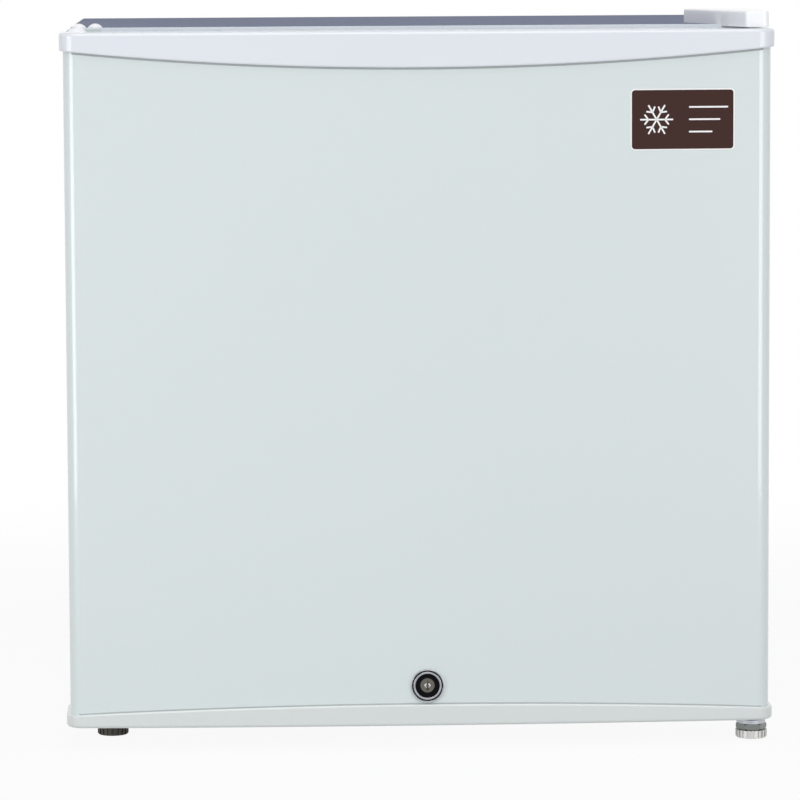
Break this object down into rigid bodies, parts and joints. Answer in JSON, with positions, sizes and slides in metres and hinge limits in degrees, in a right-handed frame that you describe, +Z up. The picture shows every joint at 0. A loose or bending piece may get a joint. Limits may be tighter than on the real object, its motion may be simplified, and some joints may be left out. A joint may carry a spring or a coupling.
{
  "type": "mini fridge",
  "caption": "Compact cube refrigerator with a bowed hinged door, key lock, half-width freezer box, wire shelf, door bins and a rear compressor bay.",
  "frame": {"origin": "on the floor, under the middle of the fridge's box", "axes": "+X to the fridge's right seen from its door, +Y to its back, +Z up"},
  "size_m": [0.472, 0.45, 0.4885],
  "materials": {
    "white_steel": "gloss",
    "grey_steel": "satin",
    "white_plastic": "gloss",
    "liner_plastic": "satin",
    "clear_plastic": "gloss",
    "insulation_foam": "matte",
    "seal_rubber": "satin",
    "zinc_steel": "satin",
    "bright_steel": "satin",
    "chrome_trim": "polished",
    "black_plastic": "satin",
    "black_paint": "satin",
    "black_rubber": "matte",
    "raw_aluminium": "satin",
    "copper_tube": "satin",
    "white_wire": "satin"
  },
  "bodies": {
    "cabinet": {"lock_strike": "zinc_steel", "top_hinge_plate": "zinc_steel", "top_hinge_pin": "bright_steel", "top_hinge_screws": "bright_steel", "top_hinge_cover": "white_plastic", "bottom_hinge_bracket": "zinc_steel", "bottom_hinge_pin": "bright_steel", "bottom_hinge_screws": "bright_steel", "hinge_hole_plugs": "white_plastic", "foot_bush": "white_plastic", "rear_feet": "black_plastic", "left_side_panel": "white_steel", "right_side_panel": "white_steel", "top_panel": "grey_steel", "front_top_rail": "white_steel", "front_bottom_rail": "white_steel", "back_panel": "zinc_steel", "base_panel": "zinc_steel", "cabinet_foam": "insulation_foam", "inner_liner": "liner_plastic", "wire_shelf": "white_wire", "evaporator": "raw_aluminium", "evaporator_spacers": "liner_plastic", "freezer_frame": "liner_plastic", "tray_runners": "liner_plastic", "thermostat_housing": "white_plastic", "compressor_plate": "zinc_steel", "compressor": "black_paint", "compressor_grommets": "black_rubber", "compressor_bolts": "bright_steel", "terminal_cover": "black_plastic", "condenser_coil": "copper_tube", "filter_drier": "copper_tube", "discharge_tube": "copper_tube", "suction_tube": "copper_tube", "capillary_tube": "copper_tube", "cord_gland": "black_rubber"},
    "door": {"door_panel": "white_steel", "door_foam": "insulation_foam", "door_liner": "liner_plastic", "door_top_cap": "white_plastic", "door_bottom_cap": "white_plastic", "door_gasket": "seal_rubber", "upper_door_bin": "clear_plastic", "lower_door_bin": "clear_plastic", "top_hinge_bush": "white_plastic", "bottom_hinge_bush": "white_plastic", "door_cap_plug": "white_plastic", "lock_bezel": "chrome_trim", "lock_barrel": "black_plastic", "lock_nut": "bright_steel"},
    "lock": {"lock_plug": "chrome_trim", "lock_cam": "bright_steel", "lock_cam_screw": "bright_steel"},
    "freezer_flap": {"freezer_flap": "clear_plastic"},
    "drip_tray": {"drip_tray": "clear_plastic"},
    "thermostat_knob": {"thermostat_knob": "white_plastic"},
    "front_left_foot": {"front_left_foot": "black_plastic"},
    "front_right_foot": {"front_right_foot": "bright_steel"}
  },
  "joints": [
    {"name": "door_hinge", "type": "hinge", "parent": "cabinet", "child": "door", "pos_m": [0.2243, -0.1915, 0.2465], "axis": [0, 0, 1], "range_deg": [0, 120]},
    {"name": "lock_turn", "type": "hinge", "parent": "door", "child": "lock", "pos_m": [0.004, -0.175, 0.043], "axis": [0, 1, 0], "range_deg": [0, 90]},
    {"name": "freezer_flap_hinge", "type": "hinge", "parent": "cabinet", "child": "freezer_flap", "pos_m": [-0.085, -0.0555, 0.431], "axis": [-1, 0, 0], "range_deg": [0, 85]},
    {"name": "drip_tray_slide", "type": "slide", "parent": "cabinet", "child": "drip_tray", "axis": [0, -1, 0], "range_m": [0, 0.085]},
    {"name": "thermostat_turn", "type": "hinge", "parent": "cabinet", "child": "thermostat_knob", "pos_m": [0.174, -0.04, 0.387], "axis": [0, 1, 0], "range_deg": [0, 270]},
    {"name": "front_left_foot_spin", "type": "hinge", "parent": "cabinet", "child": "front_left_foot", "pos_m": [-0.2063, -0.151, 0], "axis": [0, 0, 1], "continuous": true},
    {"name": "front_right_foot_spin", "type": "hinge", "parent": "cabinet", "child": "front_right_foot", "pos_m": [0.2243, -0.1915, 0], "axis": [0, 0, 1], "continuous": true}
  ]
}
